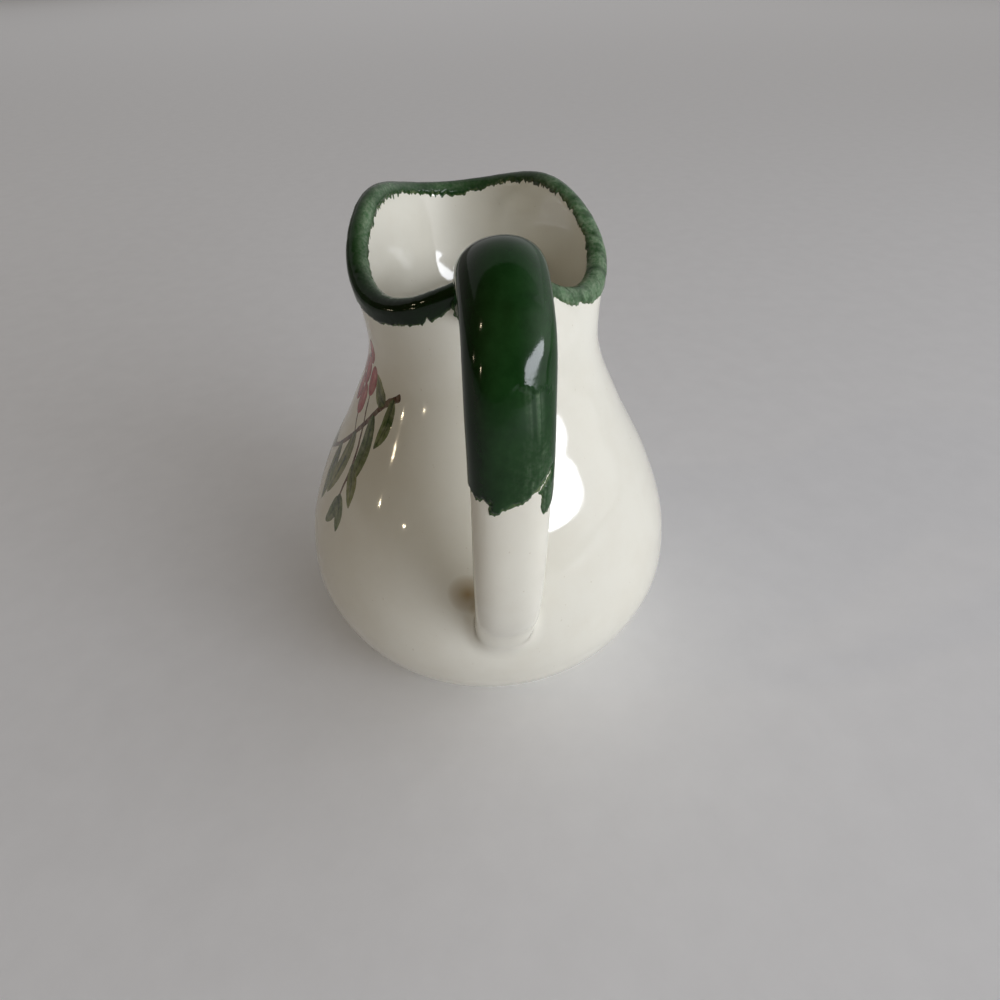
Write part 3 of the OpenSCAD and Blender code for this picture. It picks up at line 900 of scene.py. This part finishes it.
# A material made from nodes. Its methods add nodes and give their outputs
class Look:
    def __init__(self, name):
        self.material = bpy.data.materials.new(name)
        self.material.use_nodes = True
        self.tree = self.material.node_tree
        self.shader = self.tree.nodes["Principled BSDF"]

    def node(self, kind, **values):
        n = self.tree.nodes.new(kind)
        for k, v in values.items():
            setattr(n, k, v)
        return n

    def link(self, a, b):
        self.tree.links.new(a, b)

    def place(self):
        return self.node("ShaderNodeTexCoord").outputs["Object"]

    def noise(self, scale, detail=3.0, rough=0.5, seed=0.0):
        n = self.node("ShaderNodeTexNoise")
        n.inputs["Scale"].default_value = scale
        n.inputs["Detail"].default_value = detail
        n.inputs["Roughness"].default_value = rough
        m = self.node("ShaderNodeMapping")
        m.inputs["Location"].default_value = (seed, seed * 0.7, seed * 1.3)
        self.link(self.place(), m.inputs["Vector"])
        self.link(m.outputs["Vector"], n.inputs["Vector"])
        return n.outputs["Fac"]

    def span(self, value, low, high, to_low=0.0, to_high=1.0):
        n = self.node("ShaderNodeMapRange")
        n.inputs["From Min"].default_value = low
        n.inputs["From Max"].default_value = high
        n.inputs["To Min"].default_value = to_low
        n.inputs["To Max"].default_value = to_high
        self.link(value, n.inputs["Value"])
        return n.outputs["Result"]

    def math(self, kind, a, b):
        n = self.node("ShaderNodeMath", operation=kind)
        for socket, v in zip(n.inputs, (a, b)):
            if isinstance(v, (int, float)):
                socket.default_value = v
            else:
                self.link(v, socket)
        return n.outputs["Value"]

    def mix(self, share, a, b):
        n = self.node("ShaderNodeMix", data_type="RGBA")
        sockets = {s.identifier: s for s in n.inputs}
        for socket, v in (
            (sockets["Factor_Float"], share), (sockets["A_Color"], a), (sockets["B_Color"], b),
        ):
            if isinstance(v, (int, float)):
                socket.default_value = v
            elif isinstance(v, tuple):
                socket.default_value = (*v, 1.0)
            else:
                self.link(v, socket)
        return {s.identifier: s for s in n.outputs}["Result_Color"]

    def attribute(self, name, color=False):
        n = self.node("ShaderNodeAttribute", attribute_name=name)
        return n.outputs["Color" if color else "Fac"]

    def bump(self, height, distance, strength=1.0):
        n = self.node("ShaderNodeBump")
        n.inputs["Strength"].default_value = strength
        n.inputs["Distance"].default_value = distance
        self.link(height, n.inputs["Height"])
        self.link(n.outputs["Normal"], self.shader.inputs["Normal"])

    def near(self, x, y, z, reach):
        n = self.node("ShaderNodeVectorMath", operation="DISTANCE")
        n.inputs[1].default_value = (x * MM, y * MM, z * MM)
        self.link(self.place(), n.inputs[0])
        return self.span(n.outputs["Value"], reach * MM, 0.0)

    def height(self):
        split = self.node("ShaderNodeSeparateXYZ")
        self.link(self.place(), split.inputs["Vector"])
        return split.outputs["Z"]


CREAM_LIGHT = (0.79, 0.773, 0.683)
CREAM_DARK = (0.76, 0.735, 0.63)
CREAM_MOTTLE = (0.72, 0.685, 0.58)
CREAM_SPECK = (0.42, 0.33, 0.2)
# Pooled glaze beside the strap's lower root, darkened with painted shade and a painted brown reflection
POOL_AND_SHADE_COLOR = (0.32, 0.215, 0.07)
POOL_AND_SHADE_PLACE = (-39.6, 6.8, 41.4)
POOL_AND_SHADE_REACH = 4.2
BARE_CLAY = (0.70, 0.62, 0.48)
GREEN_DARK = (0.005, 0.029, 0.005)
GREEN_LIGHT = (0.012, 0.048, 0.011)
# Painted shade for the green coat's left side
GREEN_PAINTED_SHADE = (0.0015, 0.008, 0.0015)
WORN_DARK = (0.075, 0.17, 0.07)
WORN_LIGHT = (0.26, 0.34, 0.22)
THIN_DARK = (0.02, 0.075, 0.018)
THIN_LIGHT = (0.16, 0.2, 0.09)
# Painted warm shade for the green coat inside the lip on the right
WARM_SHADE_DARK = (0.022, 0.018, 0.008)
WARM_SHADE_LIGHT = (0.09, 0.07, 0.03)
WARM_SHADE_WASH = (0.02, 0.026, 0.008)
GREEN_SPECULAR = 0.27
PAINT_WASH = (0.68, 0.62, 0.45)
PAPER_DARK = (0.84, 0.84, 0.85)
PAPER_LIGHT = (0.87, 0.87, 0.88)
ORANGE_PEEL_DEPTH = 0.00016
GRAIN_DEPTH = 0.00004
PAPER_DEPTH = 0.0001


# The gloss varies a little, and the surface has a faint orange peel
def glazed(look, scale, extra=None):
    gloss = look.span(look.noise(scale, 3, seed=5.0), 0.3, 0.7, 0.05, 0.1)
    if extra is not None:
        gloss = look.math("ADD", gloss, extra)
    look.link(gloss, look.shader.inputs["Roughness"])
    look.bump(look.noise(55, 2, 0.45, seed=9.0), ORANGE_PEEL_DEPTH, 0.35)


def cream_look():
    look = Look("cream_glaze_look")
    cloud = look.span(look.noise(14, 3), 0.35, 0.7)
    mottle = look.span(look.noise(120, 4, 0.6, seed=3.0), 0.4, 0.72)
    base = look.mix(cloud, CREAM_LIGHT, CREAM_DARK)
    base = look.mix(look.math("MULTIPLY", mottle, 0.35), base, CREAM_MOTTLE)
    speck = look.span(look.noise(1300, 1, 0.4, seed=7.0), 0.77, 0.81)
    base = look.mix(look.math("MULTIPLY", speck, 0.3), base, CREAM_SPECK)
    # A brown-yellow patch in the corner beside the strap's lower root: partly glaze pooled there, partly
    # painted shade and a painted brown reflection
    pool_and_shade = look.math("POWER", look.near(*POOL_AND_SHADE_PLACE, POOL_AND_SHADE_REACH), 0.8)
    base = look.mix(look.math("MULTIPLY", pool_and_shade, 0.95), base, POOL_AND_SHADE_COLOR)
    # The ring that the jug stands on is wiped clean of glaze
    edge = look.math("ADD", look.height(), look.math("MULTIPLY", look.noise(400, 3), 0.0004))
    bare = look.span(edge, 0.0006, 0.00035)
    base = look.mix(bare, base, BARE_CLAY)
    look.link(base, look.shader.inputs["Base Color"])
    glazed(look, 40, look.math("MULTIPLY", bare, 0.6))
    return look.material


def green_look():
    look = Look("green_glaze_look")
    cover = look.attribute("cover")
    worn = look.attribute("worn")
    blotch = look.span(look.noise(260, 4, 0.65), 0.32, 0.72)
    fine = look.span(look.noise(1500, 3, 0.6, seed=2.0), 0.35, 0.7)
    base = look.mix(blotch, GREEN_DARK, GREEN_LIGHT)
    # Painted shade on the coat's left side, where the deep attribute says so
    base = look.mix(look.math("MULTIPLY", look.attribute("deep"), 0.85), base, GREEN_PAINTED_SHADE)
    share = look.math("MULTIPLY", worn, look.span(blotch, 0.0, 1.0, 0.55, 1.0))
    base = look.mix(share, base, look.mix(fine, WORN_DARK, WORN_LIGHT))
    # The coat is thin at its edges. Inside the lip on the right, where an attribute says so, painted warm
    # shade turns it brown, at its edges and over it
    edge = look.span(cover, 0.0, 0.55, 1.0, 0.0)
    warm_shade = look.attribute("warm_shade")
    thin = look.mix(warm_shade, look.mix(fine, THIN_DARK, THIN_LIGHT), look.mix(fine, WARM_SHADE_DARK, WARM_SHADE_LIGHT))
    base = look.mix(look.math("MULTIPLY", warm_shade, 0.45), base, WARM_SHADE_WASH)
    base = look.mix(look.math("MULTIPLY", edge, 0.85), base, thin)
    look.link(base, look.shader.inputs["Base Color"])
    look.shader.inputs["Specular IOR Level"].default_value = GREEN_SPECULAR
    rough = look.span(look.noise(300, 3, seed=5.0), 0.3, 0.7, 0.06, 0.12)
    rough = look.math("ADD", rough, look.math("MULTIPLY", share, 0.3))
    look.link(rough, look.shader.inputs["Roughness"])
    look.bump(look.noise(420, 3, 0.55, seed=4.0), GRAIN_DEPTH, 0.5)
    return look.material


def paint_look():
    look = Look("underglaze_paint_look")
    wash = look.span(look.noise(700, 4, 0.6), 0.35, 0.75)
    base = look.mix(look.math("MULTIPLY", wash, 0.28), look.attribute("paint", True), PAINT_WASH)
    look.link(base, look.shader.inputs["Base Color"])
    glazed(look, 60)
    return look.material


def floor_look():
    look = Look("studio_paper_look")
    grain = look.span(look.noise(90, 5, 0.6), 0.3, 0.7)
    look.link(look.mix(grain, PAPER_DARK, PAPER_LIGHT), look.shader.inputs["Base Color"])
    look.link(look.span(grain, 0.0, 1.0, 0.75, 0.85), look.shader.inputs["Roughness"])
    look.bump(grain, PAPER_DEPTH, 0.3)
    return look.material


cream = cream_look()
green = green_look()
paint = paint_look()
for piece in (shell, strap, upper_joint, lower_joint):
    piece.data.materials.append(cream)
for piece in (rim_coat, handle_coat):
    piece.data.materials.append(green)
sprig.data.materials.append(paint)

# Floor
FLOOR = 30000
corners = [(-FLOOR, -FLOOR, 0), (FLOOR, -FLOOR, 0), (FLOOR, FLOOR, 0), (-FLOOR, FLOOR, 0)]
floor = mesh("studio_floor", corners, [(0, 1, 2, 3)], False)
floor.data.materials.append(floor_look())

# Camera, behind the handle and above the rim
LENS = 27.04
SENSOR = 36.0
CAMERA_PLACE = (-0.15078, 0.00885, 0.14168)
CAMERA_RIGHT = (-0.086, -0.9962, -0.0119)
CAMERA_UP = (0.5704, -0.059, 0.8193)
camera_data = bpy.data.cameras.new("camera")
camera_data.lens = LENS
camera_data.sensor_width = SENSOR
camera_data.clip_start = 0.01
camera = bpy.data.objects.new("camera", camera_data)
right = Vector(CAMERA_RIGHT).normalized()
up = Vector(CAMERA_UP)
back = right.cross(up).normalized()
up = back.cross(right).normalized()
camera.matrix_world = Matrix((
    (right.x, up.x, back.x, CAMERA_PLACE[0]),
    (right.y, up.y, back.y, CAMERA_PLACE[1]),
    (right.z, up.z, back.z, CAMERA_PLACE[2]),
    (0, 0, 0, 1),
))
bpy.context.scene.collection.objects.link(camera)
bpy.context.scene.camera = camera

# Soft light all round: brightest round the window, dimmer to its right, warm on the room's side. Each glow
# has an azimuth and an elevation in degrees, a power that narrows it, and a colour
ROOM = (0.018, 0.014, 0.009)
GLOWS = (
    (-110, 12, 5.0, (1.3, 1.3, 1.32)),
    (-55, 15, 4.0, (0.45, 0.45, 0.47)),
    (40, 12, 5.0, (0.17, 0.165, 0.16)),
    (125, 35, 2.5, (0.07, 0.046, 0.018)),
    (-150, 50, 5.0, (0.05, 0.04, 0.024)),
)
world = bpy.data.worlds.new("studio_world")
world.use_nodes = True
tree = world.node_tree
sky = tree.nodes["Background"]
spot = tree.nodes.new("ShaderNodeTexCoord")


def heading(azimuth, elevation):
    a = math.radians(azimuth)
    e = math.radians(elevation)
    return Vector((math.cos(e) * math.cos(a), math.cos(e) * math.sin(a), math.sin(e)))


def facing(azimuth, elevation, power):
    dot = tree.nodes.new("ShaderNodeVectorMath")
    dot.operation = "DOT_PRODUCT"
    dot.inputs[1].default_value = heading(azimuth, elevation)
    tree.links.new(spot.outputs["Generated"], dot.inputs[0])
    held = tree.nodes.new("ShaderNodeMath")
    held.operation = "MAXIMUM"
    held.inputs[1].default_value = 0.0
    tree.links.new(dot.outputs["Value"], held.inputs[0])
    raised = tree.nodes.new("ShaderNodeMath")
    raised.operation = "POWER"
    raised.inputs[1].default_value = power
    tree.links.new(held.outputs["Value"], raised.inputs[0])
    return raised.outputs["Value"]


def glow(base, amount, color):
    scaled = tree.nodes.new("ShaderNodeVectorMath")
    scaled.operation = "SCALE"
    scaled.inputs[0].default_value = color
    tree.links.new(amount, scaled.inputs["Scale"])
    added = tree.nodes.new("ShaderNodeVectorMath")
    added.operation = "ADD"
    if isinstance(base, tuple):
        added.inputs[0].default_value = base
    else:
        tree.links.new(base, added.inputs[0])
    tree.links.new(scaled.outputs["Vector"], added.inputs[1])
    return added.outputs["Vector"]


light = ROOM
for azimuth, elevation, power, color in GLOWS:
    light = glow(light, facing(azimuth, elevation, power), color)
tree.links.new(light, sky.inputs["Color"])
sky.inputs["Strength"].default_value = 1.0
bpy.context.scene.world = world


# A lamp at a heading from the jug's middle, that faces it. Its distance and size are in m
AIM_HEIGHT = 0.06


def lamp(name, azimuth, elevation, distance, width, height, radiance, color, shape="RECTANGLE"):
    data = bpy.data.lights.new(name, "AREA")
    data.shape = shape
    data.size = width
    data.size_y = height
    data.energy = radiance * math.pi * width * height * (1 if shape == "RECTANGLE" else math.pi / 4)
    data.color = color
    obj = bpy.data.objects.new(name, data)
    way = heading(azimuth, elevation)
    obj.location = way * distance + Vector((0, 0, AIM_HEIGHT))
    obj.rotation_mode = "QUATERNION"
    obj.rotation_quaternion = way.to_track_quat("Z", "Y")
    bpy.context.scene.collection.objects.link(obj)
    return obj


WINDOW_LIGHT = (0.90, 0.93, 1.0)
LAMP_LIGHT = (1.0, 0.83, 0.58)
BACKGROUND_LIGHT = (0.97, 0.98, 1.0)
lamp("window", -137, 14.2, 1.2, 1.08, 0.2, 16.0, WINDOW_LIGHT, "ELLIPSE")
lamp("room_lamp_left", 100, 7.2, 1.3, 0.028, 0.028, 90, LAMP_LIGHT, "ELLIPSE")
lamp("room_lamp_right", 121, 8.3, 1.3, 0.035, 0.03, 80, LAMP_LIGHT, "ELLIPSE")
lamp("room_lamp_high", 109, 32, 1.3, 0.03, 0.08, 80, LAMP_LIGHT, "ELLIPSE")
# The lamp over the background shines straight down
over_background = lamp("background_lamp", -2, 10.8, 10.7, 20.0, 7.0, 0.26, BACKGROUND_LIGHT)
over_background.rotation_quaternion = (1, 0, 0, 0)

bpy.context.scene.view_settings.view_transform = "Standard"
